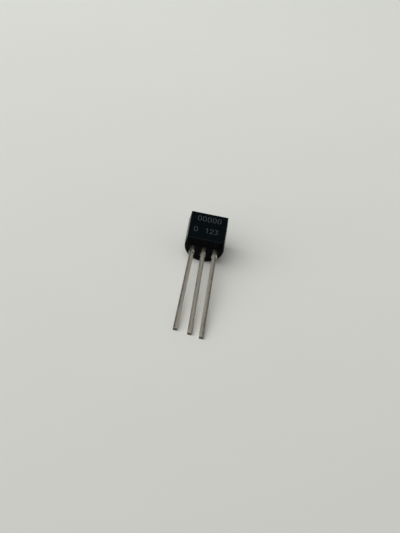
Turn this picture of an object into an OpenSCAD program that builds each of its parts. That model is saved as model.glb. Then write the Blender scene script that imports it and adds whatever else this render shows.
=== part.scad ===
// TO-92 transistor, lying as it comes to rest: round back and lead tips down, flat front up.
//
// Every piece is drawn upright, in the case frame, and then laid down by rest().
//   Case frame: +X to the right seen from the flat front, +Y from the flat front to the round back,
//               +Z from the bottom end, where the leads come out, to the top end. The leads lie in Y = 0.
//   Row frame:  +Z up from the surface, +Y towards the top end of the case, leads towards -Y.
//               The origin is on the surface, below the middle of the whole part.

/* [Case] */
// Diameter of the round back
case_d = 4.4; // [4.3:0.05:4.7]
// Height of the case, measured at the parting line
case_h = 4.6; // [4.4:0.05:4.8]
// Distance from the lead plane to the flat front
flat_y = 1.25; // [1.1:0.05:1.4]
// Draft of the ends and of the front half's sides, in degrees from the parting line
draft = 5; // [3:0.5:6]
// Width of the chamfers along the flat's long edges
corner_cut = 0.05; // [0.03:0.01:0.12]
// Width of the chamfers across the flat's two ends
end_cut = 0.14; // [0.05:0.01:0.18]
// Diameter of the ejector-pin mark on the round back
pin_mark_d = 1.5; // [1.2:0.05:1.6]
// Depth of the ejector-pin mark below the crest of the back
pin_mark_depth = 0.18; // [0.14:0.01:0.3]

/* [Leads] */
// Distance between neighbouring leads at the case
pitch = 1.27; // [1.25:0.01:1.3]
// Width of a lead
lead_w = 0.5; // [0.4:0.01:0.55]
// Thickness of the stamped lead frame
lead_t = 0.38; // [0.36:0.01:0.45]
// Length of the middle lead outside the case
lead_len = 13.3; // [13:0.05:14.5]
// How much longer each lead is than the one to its left
cut_step = 0.25; // [0:0.05:0.5]
// Sideways lean of the emitter lead's tip
emitter_lean = -0.25; // [-0.3:0.05:0.3]
// Sideways lean of the base lead's tip
base_lean = 0.05; // [-0.3:0.05:0.3]
// Sideways lean of the collector lead's tip
collector_lean = 0.05; // [-0.3:0.05:0.3]
// Distance from the case to the stub of the cut dam bar
dam_drop = 0.85; // [0.6:0.05:1.2]
// How far the stub of the dam bar stands out on each side
dam_stub = 0.06; // [0.03:0.01:0.1]

/* [Inside] */
// Width of the lock that anchors each lead in the case
lock_w = 0.75; // [0.6:0.05:0.85]
// Width of the square chip
die_w = 0.42; // [0.36:0.02:0.6]
// Thickness of the chip
die_t = 0.2; // [0.15:0.01:0.25]
// Thickness of the adhesive under the chip
attach_t = 0.03; // [0.02:0.005:0.04]
// How far the adhesive spreads past the chip on each side
attach_rim = 0.03; // [0.01:0.01:0.06]
// Diameter of the bond wires
wire_d = 0.03; // [0.025:0.005:0.05]
// Height of the wire loops above the straight line between their ends
wire_rise = 0.35; // [0.25:0.05:0.5]

/* [Hidden] */

// Colours of the finished surfaces
EPOXY = [0.06, 0.065, 0.07];
TIN = [0.68, 0.67, 0.64];
SILVER_PASTE = [0.75, 0.74, 0.72];
SILICON = [0.24, 0.26, 0.32];
GOLD = [0.86, 0.68, 0.30];

// Case: radius, the fall of a drafted face from the parting line to Y, and half width of the flat
case_r = case_d / 2;
function end_fall(y) = abs(y) * tan(draft);
flat_half = case_r - end_fall(flat_y);
// Reach of cutting shapes past the case
past = 1;

// Leads: where each tip ends up, from left to right
tip_x = [-pitch + emitter_lean, base_lean, pitch + collector_lean];
tip_len = [lead_len - cut_step, lead_len, lead_len + cut_step];
dam_height = 0.3;
dam_slope = 0.06;
lean_start = dam_drop + dam_height + 0.2;

// Posts and pad inside the case, in the lead plane
lock_low = 0.4;
lock_height = 0.3;
post_gap = 0.4;
base_post_low = 1.05;
base_post_high = 1.65;
base_post_w = 0.8;
pad_low = base_post_high + post_gap;
pad_high = case_h - 0.7;
pad_left = -0.45;
pad_right = 1.75;
pad_hole_d = 0.4;
pad_hole_margin = 0.38;
emitter_post_low = 2.2;
emitter_post_high = 3.5;
emitter_post_left = -1.7;
emitter_post_right = pad_left - post_gap;

// Chip and bonds: each wire runs from a bond on the chip's front face to a bond on a post's front face
die_x = 0.3;
die_z = (pad_low + pad_high) / 2;
post_front = -lead_t / 2;
attach_front = post_front - attach_t;
die_front = attach_front - die_t;
emitter_bond_on_die = [die_x - 0.09, die_front, die_z + 0.05];
emitter_bond_on_post = [-1.15, post_front, die_z];
base_bond_on_die = [die_x + 0.02, die_front, die_z - 0.11];
base_bond_on_post = [0, post_front, (base_post_low + base_post_high) / 2];
wire_sides = 8;
wire_rings = 24;
ball_r = wire_d * 1.3;
foot_r = wire_d * 0.8;

// Rest: the part lies on the bottom edge of its round back and on its lead tips. It tilts because the
// back is further from the lead plane than the lead tips are, and rolls because the tips aren't level.
tip_slope = (tip_len[2] - tip_len[0]) / (tip_x[2] - tip_x[0]);
tip_corner = tip_slope * (lead_w / 2 - tip_x[1]);
rest_tilt = atan((case_r - lead_t / 2) / (lead_len + end_fall(case_r) + tip_corner));
rest_roll = -asin(tip_slope * tan(rest_tilt));
back_drop = case_r * cos(rest_tilt) - end_fall(case_r) * sin(rest_tilt);
head_reach = (case_h - end_fall(case_r)) * cos(rest_tilt) + case_r * sin(rest_tilt);
tip_reach = tip_len[2] * cos(rest_tilt) + lead_t / 2 * sin(rest_tilt);

module rest() {
    translate([0, (tip_reach - head_reach) / 2, back_drop])
        rotate([rest_tilt - 90, 0, 0])
            rotate([0, 0, rest_roll])
                children();
}

// Outline of the case seen along Z: a half circle behind the parting line, and in front of it two
// drafted sides that run to the flat, whose long edges are chamfered
module case_section() {
    side_y = flat_y - corner_cut;
    side_x = case_r - end_fall(side_y);
    intersection() {
        circle(r = case_r, $fn = 96);
        translate([-case_r - past, 0])
            square([case_d + 2 * past, case_r + past]);
    }
    polygon([
        [-case_r, 0],
        [-side_x, -side_y],
        [-flat_half + corner_cut, -flat_y],
        [flat_half - corner_cut, -flat_y],
        [side_x, -side_y],
        [case_r, 0]
    ]);
}

// Outline of the case seen along X, in Y and Z: both ends fall away from the parting line at Y = 0
module case_profile() {
    back = case_r + past;
    polygon([
        [0, 0],
        [back, end_fall(back)],
        [back, case_h - end_fall(back)],
        [0, case_h],
        [-flat_y + end_cut, case_h - end_fall(flat_y)],
        [-flat_y, case_h - end_fall(flat_y) - end_cut],
        [-flat_y, end_fall(flat_y) + end_cut],
        [-flat_y + end_cut, end_fall(flat_y)]
    ]);
}

module case_block() {
    intersection() {
        translate([0, 0, -past])
            linear_extrude(height = case_h + 2 * past)
                case_section();
        rotate([90, 0, 90])
            linear_extrude(height = case_d + 2 * past, center = true)
                case_profile();
    }
}

module pin_mark() {
    translate([0, case_r - pin_mark_depth, case_h / 2])
        rotate([-90, 0, 0])
            cylinder(d = pin_mark_d, h = pin_mark_depth + past, $fn = 64);
}

// Stamps an outline drawn in X and Z out of the lead frame's sheet
module stamped() {
    rotate([90, 0, 0])
        linear_extrude(height = lead_t, center = true)
            children();
}

module bar(left, right, low, high) {
    translate([left, low])
        square([right - left, high - low]);
}

// Outline of one lead up to the top of its straight shank inside the case
module shank_outline(i, top) {
    x = (i - 1) * pitch;
    half = lead_w / 2;
    dam_low = -dam_drop - dam_height;
    bar(x - half, x + half, -lean_start, top);
    bar(x - lock_w / 2, x + lock_w / 2, lock_low, lock_low + lock_height);
    polygon([
        [x - half, dam_low],
        [x + half, dam_low],
        [x + half + dam_stub, dam_low + dam_slope],
        [x + half + dam_stub, -dam_drop - dam_slope],
        [x + half, -dam_drop],
        [x - half, -dam_drop],
        [x - half - dam_stub, -dam_drop - dam_slope],
        [x - half - dam_stub, dam_low + dam_slope]
    ]);
    polygon([
        [x - half, -lean_start],
        [tip_x[i] - half, -tip_len[i]],
        [tip_x[i] + half, -tip_len[i]],
        [x + half, -lean_start]
    ]);
}

module emitter_shape() {
    stamped() {
        shank_outline(0, emitter_post_low);
        bar(emitter_post_left, emitter_post_right, emitter_post_low, emitter_post_high);
    }
}

module base_shape() {
    stamped() {
        shank_outline(1, base_post_low);
        bar(-base_post_w / 2, base_post_w / 2, base_post_low, base_post_high);
    }
}

module collector_shape() {
    stamped()
        difference() {
            union() {
                shank_outline(2, pad_low);
                bar(pad_left, pad_right, pad_low, pad_high);
            }
            translate([pad_right - pad_hole_margin, pad_high - pad_hole_margin])
                circle(d = pad_hole_d, $fn = 32);
        }
}

// A square plate on the pad, from one Y towards the flat front
module plate(w, back_y, t) {
    translate([die_x - w / 2, back_y - t, die_z - w / 2])
        cube([w, t, w]);
}

module attach_shape() {
    plate(die_w + 2 * attach_rim, post_front, attach_t);
}

module die_shape() {
    plate(die_w, attach_front, die_t);
}

// A bond wire: an arch that leaves and meets its two faces square on, swept by rings of points
function arch_point(a, b, u) =
    a + (b - a) * (1 - cos(180 * u)) / 2 - [0, wire_rise * sin(180 * u), 0];
function arch_heading(a, b, u) =
    (b - a) * sin(180 * u) / 2 - [0, wire_rise * cos(180 * u), 0];
function unit(v) = v / norm(v);
function ring_r(i) = i == 0 ? ball_r : i == wire_rings ? foot_r : wire_d / 2;
function ring(a, b, i) =
    let (
        u = i / wire_rings,
        side = unit(cross([0, 1, 0], b - a)),
        across = unit(cross(arch_heading(a, b, u), side))
    )
    [for (k = [0 : wire_sides - 1])
        arch_point(a, b, u)
            + ring_r(i) * (cos(360 * k / wire_sides) * side + sin(360 * k / wire_sides) * across)];

module wire_shape(a, b) {
    points = [for (i = [0 : wire_rings]) each ring(a, b, i)];
    walls = [
        for (i = [0 : wire_rings - 1])
            for (k = [0 : wire_sides - 1])
                let (
                    p = i * wire_sides + k,
                    q = i * wire_sides + (k + 1) % wire_sides
                )
                each [[p, q, q + wire_sides], [p, q + wire_sides, p + wire_sides]]
    ];
    start_cap = [for (k = [wire_sides - 1 : -1 : 0]) k];
    end_cap = [for (k = [0 : wire_sides - 1]) wire_rings * wire_sides + k];
    polyhedron(points = points, faces = concat([start_cap], walls, [end_cap]));
}

module emitter_wire_shape() {
    wire_shape(emitter_bond_on_die, emitter_bond_on_post);
}

module base_wire_shape() {
    wire_shape(base_bond_on_die, base_bond_on_post);
}

// The moulded case, cast around everything inside it
module body() {
    color(EPOXY)
        rest()
            difference() {
                case_block();
                pin_mark();
                emitter_shape();
                base_shape();
                collector_shape();
                attach_shape();
                die_shape();
                emitter_wire_shape();
                base_wire_shape();
            }
}

module emitter_lead() {
    color(TIN)
        rest()
            emitter_shape();
}

module base_lead() {
    color(TIN)
        rest()
            base_shape();
}

module collector_lead() {
    color(TIN)
        rest()
            collector_shape();
}

module die_attach() {
    color(SILVER_PASTE)
        rest()
            attach_shape();
}

module silicon_die() {
    color(SILICON)
        rest()
            die_shape();
}

module emitter_bond_wire() {
    color(GOLD)
        rest()
            emitter_wire_shape();
}

module base_bond_wire() {
    color(GOLD)
        rest()
            base_wire_shape();
}

body();
emitter_lead();
base_lead();
collector_lead();
die_attach();
silicon_die();
emitter_bond_wire();
base_bond_wire();
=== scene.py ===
# %% [markdown]
# # A three-legged transistor, lying on its back
#
# The thing itself is a small black block of moulded epoxy, 4.4 mm wide, flat in front and round
# behind, with three tin-plated leads in a row. This lesson builds its looks around a finished CAD
# model: the CAD fixes where everything is, and Blender gives each piece its rounded edges, its
# mould marks and its finish.
#
# The first step loads that CAD model. Everything below is in metres and in the same frame, so a
# piece that is built to the CAD's sizes falls into place without being fitted by eye.

# %% Load the CAD frame
import math
from math import cos, pi, radians, sin

import bmesh
import bpy
from mathutils import Matrix, Vector


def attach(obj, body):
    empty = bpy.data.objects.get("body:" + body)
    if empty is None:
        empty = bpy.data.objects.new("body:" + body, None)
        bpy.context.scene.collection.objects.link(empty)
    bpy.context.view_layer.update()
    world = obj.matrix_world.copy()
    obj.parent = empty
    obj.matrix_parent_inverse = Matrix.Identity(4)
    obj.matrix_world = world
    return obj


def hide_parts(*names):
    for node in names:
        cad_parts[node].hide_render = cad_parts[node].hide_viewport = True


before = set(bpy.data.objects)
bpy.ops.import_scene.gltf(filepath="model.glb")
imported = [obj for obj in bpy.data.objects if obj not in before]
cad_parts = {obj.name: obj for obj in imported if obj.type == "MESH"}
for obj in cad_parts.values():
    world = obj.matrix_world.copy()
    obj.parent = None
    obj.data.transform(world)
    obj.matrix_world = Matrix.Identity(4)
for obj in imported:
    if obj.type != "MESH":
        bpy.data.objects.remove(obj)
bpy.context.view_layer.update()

scene = bpy.context.scene


def add_object(name, data):
    """Puts a mesh, a camera or a lamp into the scene as an object."""
    made = bpy.data.objects.new(name, data)
    scene.collection.objects.link(made)
    return made


print("CAD nodes:", sorted(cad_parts))

# %% [markdown]
# ## The drawing frame and the resting frame
#
# A transistor is easiest to draw standing up: X to the right, Y from the flat front to the round
# back, Z from the end where the leads come out to the top end, in millimetres. But this one lies
# down. It rests on the bottom edge of its round back and on the tips of its leads, so it tilts a
# few degrees, and it rolls a little because the leads were cut to unequal lengths.
#
# One matrix lays a finished piece down. The angles aren't guessed: they follow from the sizes,
# because two lead tips and the back must all touch the same flat surface.

# %% Work out how the part lies
MM = 0.001
CASE_R = 2.2
CASE_H = 4.6
FLAT_Y = 1.25
DRAFT_TURN = radians(5)
DRAFT = math.tan(DRAFT_TURN)
PITCH = 1.27
LEAD_W = 0.5
LEAD_T = 0.38
TIP_X = (-PITCH - 0.25, 0.05, PITCH + 0.05)
TIP_LEN = (13.05, 13.3, 13.55)

tip_slope = (TIP_LEN[2] - TIP_LEN[0]) / (TIP_X[2] - TIP_X[0])
tip_corner = tip_slope * (LEAD_W / 2 - TIP_X[1])
tilt = math.atan((CASE_R - LEAD_T / 2) / (TIP_LEN[1] + CASE_R * DRAFT + tip_corner))
roll = -math.asin(tip_slope * math.tan(tilt))
back_drop = CASE_R * cos(tilt) - CASE_R * DRAFT * sin(tilt)
head_reach = (CASE_H - CASE_R * DRAFT) * cos(tilt) + CASE_R * sin(tilt)
tip_reach = TIP_LEN[2] * cos(tilt) + LEAD_T / 2 * sin(tilt)
lay_down = (
    Matrix.Translation((0, (tip_reach - head_reach) / 2, back_drop))
    @ Matrix.Rotation(tilt - pi / 2, 4, "X")
    @ Matrix.Rotation(roll, 4, "Z")
)
to_row = Matrix.Scale(MM, 4) @ lay_down


def in_mm(box):
    """The two corners of a box in millimetres, rounded for printing."""
    return [tuple(round(v / MM, 3) for v in corner) for corner in box]


print(f"tilt {math.degrees(tilt):.3f} deg, roll {math.degrees(roll):.3f} deg")

# %% [markdown]
# ## The camera
#
# The part is seen from its lead tips, from about a third of the way up, with a long lens: close
# things look truer when the camera stands well back. The picture is also turned a little about the
# line of sight, so the leads run down and to the left.
#
# A camera can be aimed with a constraint, but its own three axes say the same thing more exactly:
# the columns of its matrix are its right, its up and the direction behind it.

# %% Place the camera
LONG_SIDE_PX = 533
FOCAL_PX = 1600
SENSOR_MM = 36
NEAREST, FURTHEST = 0.01, 20
CAMERA_AT = Vector((-7.019, -141.874, 101.483)) * MM
CAMERA_RIGHT = Vector((0.97556, 0.09177, 0.19964)).normalized()
CAMERA_LOOK = Vector((0.03966, 0.82012, -0.57082)).normalized()

camera_data = bpy.data.cameras.new("camera")
camera_data.sensor_width = SENSOR_MM
camera_data.lens = FOCAL_PX / LONG_SIDE_PX * SENSOR_MM
camera_data.clip_start, camera_data.clip_end = NEAREST, FURTHEST
camera = add_object("camera", camera_data)
scene.camera = camera
camera_up = CAMERA_RIGHT.cross(CAMERA_LOOK)
camera.matrix_world = Matrix.Translation(CAMERA_AT) @ Matrix(
    (CAMERA_RIGHT, camera_up, -CAMERA_LOOK)
).transposed().to_4x4()
print(f"lens {camera_data.lens:.1f} mm, {CAMERA_AT.length * 1000:.0f} mm from the origin")

# %% [markdown]
# ## Building node trees
#
# Materials and Geometry Nodes are both trees of nodes. Wiring them by hand takes three lines a
# node, so small helpers do it: the first adds any node and fills its inputs, and the others add the
# kinds that come up most. An input is given by its name or by its number, and its value is either a
# plain value or the output of another node.

# %% Helpers for node trees
def add_node(tree, kind, inputs=None, **settings):
    """Adds a node, sets its settings, then sets or links its inputs."""
    node = tree.nodes.new(kind)
    for name, value in settings.items():
        setattr(node, name, value)
    for key, value in (inputs or {}).items():
        if isinstance(value, bpy.types.NodeSocket):
            tree.links.new(value, node.inputs[key])
        else:
            node.inputs[key].default_value = value
    return node


def do_math(tree, operation, *values, clamp=False):
    """Adds a Math node in a shader or geometry tree and returns its output."""
    node = add_node(
        tree, "ShaderNodeMath", dict(enumerate(values)), operation=operation, use_clamp=clamp
    )
    return node.outputs[0]


def do_vector(tree, operation, *values):
    """Adds a Vector Math node and returns its first output, or the length or dot product."""
    node = add_node(tree, "ShaderNodeVectorMath", dict(enumerate(values)), operation=operation)
    return node.outputs["Value" if operation in ("DOT_PRODUCT", "LENGTH") else "Vector"]


def remap(tree, value, low, high, to_low=0.0, to_high=1.0, smooth=False):
    """Stretches a value from one range to another, held at both ends."""
    node = add_node(
        tree, "ShaderNodeMapRange", {0: value, 1: low, 2: high, 3: to_low, 4: to_high},
        interpolation_type="SMOOTHSTEP" if smooth else "LINEAR",
    )
    return node.outputs[0]


def split_axes(tree, vector):
    """Adds a Separate XYZ node and returns its three outputs."""
    return add_node(tree, "ShaderNodeSeparateXYZ", {0: vector}).outputs


def join_axes(tree, x, y, z=0.0):
    """Adds a Combine XYZ node and returns its vector."""
    return add_node(tree, "ShaderNodeCombineXYZ", {0: x, 1: y, 2: z}).outputs[0]


def blend(tree, factor, first, second, mode="MIX"):
    """Mixes two colours."""
    node = add_node(
        tree, "ShaderNodeMix", {0: factor, 6: first, 7: second}, data_type="RGBA", blend_type=mode
    )
    return node.outputs[2]


def new_group(name, kind, inputs, outputs):
    """Makes a node group with named inputs and outputs; inputs are (name, type, default)."""
    group = bpy.data.node_groups.new(name, kind)
    for label, socket, default in inputs:
        made = group.interface.new_socket(label, in_out="INPUT", socket_type=socket)
        if default is not None:
            made.default_value = default
    for label, socket in outputs:
        group.interface.new_socket(label, in_out="OUTPUT", socket_type=socket)
    entry, exit_node = group.nodes.new("NodeGroupInput"), group.nodes.new("NodeGroupOutput")
    return group, entry.outputs, exit_node.inputs


def use_group(tree, group, inputs):
    """Places a group in a material's tree and returns its outputs."""
    return add_node(tree, "ShaderNodeGroup", inputs, node_tree=group).outputs


print("helpers ready")

# %% [markdown]
# ## Shared surface effects
#
# Several finishes need the same few effects at different sizes: the fine grain of a surface, wear
# along edges, specks of dust, and long streaks. Each is a node group, built once. A material
# then places the group and gives its own sizes, in millimetres.
#
# Grain is noise in two sizes: a fine one that makes tiny bumps, and a slow one that makes one
# patch a little lighter or duller than the next.

# %% Group: surface grain
FLOAT, VECTOR = "NodeSocketFloat", "NodeSocketVector"
SHADER = "ShaderNodeTree"

grain, g_in, g_out = new_group(
    "surface_grain", SHADER,
    [("Point", VECTOR, None), ("Grain", FLOAT, 0.06), ("Patch", FLOAT, 0.8)],
    [("Height", FLOAT), ("Patches", FLOAT)],
)
fine = add_node(
    grain, "ShaderNodeTexNoise",
    {"Vector": g_in["Point"], "Scale": do_math(grain, "DIVIDE", 1.0, g_in["Grain"]),
     "Detail": 3.0, "Roughness": 0.6},
)
slow = add_node(
    grain, "ShaderNodeTexNoise",
    {"Vector": g_in["Point"], "Scale": do_math(grain, "DIVIDE", 1.0, g_in["Patch"]),
     "Detail": 4.0, "Roughness": 0.55, "Distortion": 0.4},
)
grain.links.new(remap(grain, fine.outputs[0], 0.25, 0.75), g_out["Height"])
grain.links.new(remap(grain, slow.outputs[0], 0.3, 0.7), g_out["Patches"])
print("surface_grain:", len(grain.nodes), "nodes")

# %% [markdown]
# Handling rubs the edges first. The Bevel node gives the normal that a surface would have if its
# edges were softer, and where that differs from the real normal there is an edge. Noise breaks the
# edge up, so the wear looks like many small knocks and not like a painted line.

# %% Group: worn edges
wear, w_in, w_out = new_group(
    "worn_edges", SHADER,
    [("Point", VECTOR, None), ("Reach", FLOAT, 0.1), ("Knock", FLOAT, 0.15)],
    [("Mask", FLOAT)],
)
soft_normal = add_node(
    wear, "ShaderNodeBevel", {"Radius": do_math(wear, "MULTIPLY", w_in["Reach"], MM)}, samples=6
)
true_normal = add_node(wear, "ShaderNodeNewGeometry")
agreement = do_vector(wear, "DOT_PRODUCT", soft_normal.outputs[0], true_normal.outputs["Normal"])
edge = remap(wear, agreement, 0.995, 0.9)
knocks = add_node(
    wear, "ShaderNodeTexNoise",
    {"Vector": w_in["Point"], "Scale": do_math(wear, "DIVIDE", 1.0, w_in["Knock"]),
     "Detail": 5.0, "Roughness": 0.7},
)
broken = remap(wear, knocks.outputs[0], 0.45, 0.62)
wear.links.new(do_math(wear, "MULTIPLY", edge, broken), w_out["Mask"])
print("worn_edges:", len(wear.nodes), "nodes")

# %% [markdown]
# Dust is a scatter of tiny specks. A Voronoi texture gives every cell its own centre and its own
# random colour: the centre makes the speck, and the colour decides whether this cell has one.

# %% Group: dust specks
dust, d_in, d_out = new_group(
    "dust_specks", SHADER,
    [("Point", VECTOR, None), ("Spacing", FLOAT, 0.4), ("Speck", FLOAT, 0.03),
     ("Share", FLOAT, 0.3)],
    [("Mask", FLOAT)],
)
cells = add_node(
    dust, "ShaderNodeTexVoronoi",
    {"Vector": d_in["Point"], "Scale": do_math(dust, "DIVIDE", 1.0, d_in["Spacing"]),
     "Randomness": 1.0},
)
cell_mm = do_math(dust, "MULTIPLY", cells.outputs["Distance"], d_in["Spacing"])
chance = add_node(dust, "ShaderNodeSeparateColor", {0: cells.outputs["Color"]})
chosen = do_math(dust, "LESS_THAN", chance.outputs[0], d_in["Share"])
speck_r = do_math(dust, "MULTIPLY", d_in["Speck"], chance.outputs[1])
inside = remap(dust, do_math(dust, "SUBTRACT", speck_r, cell_mm), -0.006, 0.006)
dust.links.new(do_math(dust, "MULTIPLY", inside, chosen), d_out["Mask"])
print("dust_specks:", len(dust.nodes), "nodes")

# %% [markdown]
# Rolled, stamped and plated metal carries fine lines along its length. They are noise that is
# squeezed across the lead and stretched along it.

# %% Group: long streaks
streaks, s_in, s_out = new_group(
    "long_streaks", SHADER,
    [("Point", VECTOR, None), ("Across", FLOAT, 0.04), ("Along", FLOAT, 2.5)],
    [("Lines", FLOAT)],
)
thin = do_math(streaks, "DIVIDE", 1.0, s_in["Across"])
long = do_math(streaks, "DIVIDE", 1.0, s_in["Along"])
squeeze = join_axes(streaks, thin, thin, long)
lines = add_node(
    streaks, "ShaderNodeTexNoise",
    {"Vector": do_vector(streaks, "MULTIPLY", s_in["Point"], squeeze),
     "Scale": 1.0, "Detail": 3.0, "Roughness": 0.6},
)
streaks.links.new(remap(streaks, lines.outputs[0], 0.3, 0.7), s_out["Lines"])
print("long_streaks:", len(streaks.nodes), "nodes")

# %% [markdown]
# ## A fresh material
#
# Every finish starts with the same few nodes: the surface shader and its output, the object's own
# coordinates, and a Mapping node that turns them back into the upright drawing frame in
# millimetres. A pattern can then be laid along a lead or on the flat front in round numbers, and it
# can't slide, because it is tied to the piece and not to the camera.
#
# A finish is then painted in layers, oldest first: a base colour, and over it one colour after
# another, each through its own mask.

# %% Helper for materials
turned = lay_down.to_euler("XYZ")


def new_finish(name, **constants):
    """Makes a material and returns it with its tree, its shader and the point in millimetres."""
    made = bpy.data.materials.new(name)
    made.use_nodes = True
    tree = made.node_tree
    tree.nodes.clear()
    shader = add_node(tree, "ShaderNodeBsdfPrincipled", constants)
    output = add_node(tree, "ShaderNodeOutputMaterial")
    tree.links.new(shader.outputs[0], output.inputs["Surface"])
    place = add_node(
        tree, "ShaderNodeMapping",
        {"Vector": add_node(tree, "ShaderNodeTexCoord").outputs["Object"],
         "Location": lay_down.translation * MM, "Rotation": turned, "Scale": (MM, MM, MM)},
        vector_type="TEXTURE",
    )
    return made, tree, shader, place.outputs[0]


def paint(piece, finish):
    """Gives a piece one finish and no other."""
    piece.data.materials.clear()
    piece.data.materials.append(finish)


def raise_surface(tree, shader, height, depth_mm):
    """Feeds a height from 0 to 1 to the shader's normal through a Bump node."""
    bump = add_node(tree, "ShaderNodeBump", {"Height": height, "Distance": depth_mm * MM})
    tree.links.new(bump.outputs[0], shader.inputs["Normal"])


def lay_over(tree, colour, layers):
    """Lays colours over a first one, each as strongly as its mask and its share say."""
    for mask, share, over in layers:
        colour = blend(tree, do_math(tree, "MULTIPLY", mask, share), colour, over)
    return colour


print("the drawing frame is turned", [round(math.degrees(v), 2) for v in turned], "degrees")

# %% [markdown]
# ## The moulded case: its outline
#
# The case is epoxy, pressed around the lead frame in a two-part mould that opens front to back.
# Seen from its end the rear half is half a circle. The front half has two straight sides that close
# in by five degrees towards the flat, and small radii where they meet it. Both ends slope away from
# the middle by the same five degrees, so that the mould lets go.
#
# A subdivided box could be pushed into this shape, but the shape follows from five sizes, so it is
# written as a formula: an outline of points, each with the direction that faces outwards. Moving
# every point against that direction makes the smaller outlines that the rounded ends need.

# %% Outline of the case, seen from its end
FLAT_ROUND = 0.06
SHARPEST = 0.02
ROUND_STEP = radians(3)
SEAM_HALF = 0.03
CORNER_STEPS = 5
SIDE_STEPS = 8
FLAT_STEPS = 20


def spread(first, last, steps):
    """Evenly spaced values from first to last, both included."""
    return [first + (last - first) * i / steps for i in range(steps + 1)]


def half_outline(inset):
    """The right half, from the flat to the crest of the back: (x, y, outward x, outward y)."""
    back, rim = CASE_R - inset, max(FLAT_ROUND - inset, SHARPEST)
    rim_y = inset - FLAT_Y + rim
    rim_x = back - rim / cos(DRAFT_TURN) + rim_y * DRAFT
    half = [
        (rim_x + rim * cos(a), rim_y + rim * sin(a), cos(a), sin(a))
        for a in spread(-pi / 2, -DRAFT_TURN, CORNER_STEPS)
    ]
    side_heights = spread(half[-1][1], -2 * SEAM_HALF, SIDE_STEPS)[1:] + [-SEAM_HALF]
    half += [(back + y * DRAFT, y, cos(DRAFT_TURN), -sin(DRAFT_TURN)) for y in side_heights]
    seam = SEAM_HALF / back
    angles = [0, seam] + spread(2 * seam, pi / 2, round(pi / 2 / ROUND_STEP))
    return half + [(back * cos(a), back * sin(a), cos(a), sin(a)) for a in angles]


print("points in half the outline:", len(half_outline(0)))

# %% [markdown]
# ## The case: rings and ends
#
# The skin is a stack of rings. Each ring is the outline, moved in by a little at both ends so that
# the end edges are rounded. Along the middle runs the seam where the two mould halves met. A real
# seam stands out by about a hundredth of a millimetre, and the halves are never quite in line,
# so the rear half is set back by another hundredth.
#
# The two end faces are filled with straight rows of quads, one row for each pair of points at the
# same height. That keeps the slope exact and lets the seam run straight across.

# %% Build the skin of the case
SEAM_LIFT = 0.014
MOULD_SHIFT = 0.012
LOW_END_ROUND = 0.14
TOP_END_ROUND = 0.09
END_STEPS = 5
WALL_STEPS = 12


def sunk(y):
    """How far the skin lies below its nominal size: none on the seam, more on the rear half."""
    away = min(abs(y) / SEAM_HALF, 1.0)
    return away * (SEAM_LIFT + (MOULD_SHIFT if y > 0 else 0.0))


def half_ring(inset, rise, top):
    """One ring of the skin: the outline moved in by inset, at a distance rise from an end face."""
    ring = []
    for x, y, out_x, out_y in half_outline(inset):
        x, y = x - out_x * sunk(y), y - out_y * sunk(y)
        fall = abs(y) * DRAFT + sunk(y) + rise
        ring.append(Vector((x, y, CASE_H - fall if top else fall)))
    return ring


def bent_edge(radius):
    """(inset, rise) of each ring on a rounded end edge, from the end face to the wall."""
    return [(radius * (1 - sin(a)), radius * (1 - cos(a))) for a in spread(0, pi / 2, END_STEPS)]


def half_rings():
    """Every ring of the skin, bottom to top, as points of the right half."""
    low = [half_ring(inset, rise, False) for inset, rise in bent_edge(LOW_END_ROUND)]
    high = [half_ring(inset, rise, True) for inset, rise in bent_edge(TOP_END_ROUND)]
    wall = [
        [a.lerp(b, share) for a, b in zip(low[-1], high[-1])]
        for share in spread(0, 1, WALL_STEPS)[1:-1]
    ]
    return low + wall + high[::-1]


def mirrored(point):
    return Vector((-point.x, point.y, point.z))


def between(skin, left, right):
    """New points evenly spaced between two, for a straight row across the case."""
    shares = spread(0, 1, FLAT_STEPS)[1:-1]
    return [skin.verts.new(left.co.lerp(right.co, share)) for share in shares]


def build_case():
    """The closed skin of the case, in millimetres."""
    skin = bmesh.new()
    loops = []
    for half in half_rings():
        right = [skin.verts.new(p) for p in half]
        left = [skin.verts.new(mirrored(p)) for p in half[:-1]]
        flat = between(skin, left[0], right[0])
        loops.append((right, left, flat))
    for (r0, l0, f0), (r1, l1, f1) in zip(loops, loops[1:]):
        around0 = r0 + l0[::-1] + f0
        around1 = r1 + l1[::-1] + f1
        for i in range(len(around0)):
            j = (i + 1) % len(around0)
            skin.faces.new((around0[i], around0[j], around1[j], around1[i]))
    for (right, left, flat), top in ((loops[0], False), (loops[-1], True)):
        below = [left[0]] + flat + [right[0]]
        for r, l in zip(right[1:-1], left[1:]):
            row = [l] + between(skin, l, r) + [r]
            for i in range(FLAT_STEPS):
                quad = (below[i], below[i + 1], row[i + 1], row[i])
                skin.faces.new(quad if top else quad[::-1])
            below = row
        for i in range(FLAT_STEPS):
            tip = (below[i], below[i + 1], right[-1])
            skin.faces.new(tip if top else tip[::-1])
    bmesh.ops.recalc_face_normals(skin, faces=skin.faces)
    mesh = bpy.data.meshes.new("moulded_case")
    skin.to_mesh(mesh)
    skin.free()
    return mesh


case = add_object("moulded_case", build_case())
print("case skin:", len(case.data.polygons), "faces")

# %% [markdown]
# ## The case: what is cut out of it
#
# Two things interrupt the skin. On the back is the shallow round mark of the pin that pushed the
# case out of its mould. In the bottom end are the three slots that the leads fill. A Boolean
# modifier cuts both with simple shapes, and a check counts open edges, because a solid that leaks
# can't be printed or weighed.

# %% Cut the pin mark and the lead slots
PIN_MARK_D = 1.5
PIN_MARK_FLARE = 0.12
PIN_MARK_FLOOR = CASE_R - 0.18
PIN_LEN = 1.0
PIN_SIDES = 72
SLOT_DEPTH = 0.5


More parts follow.
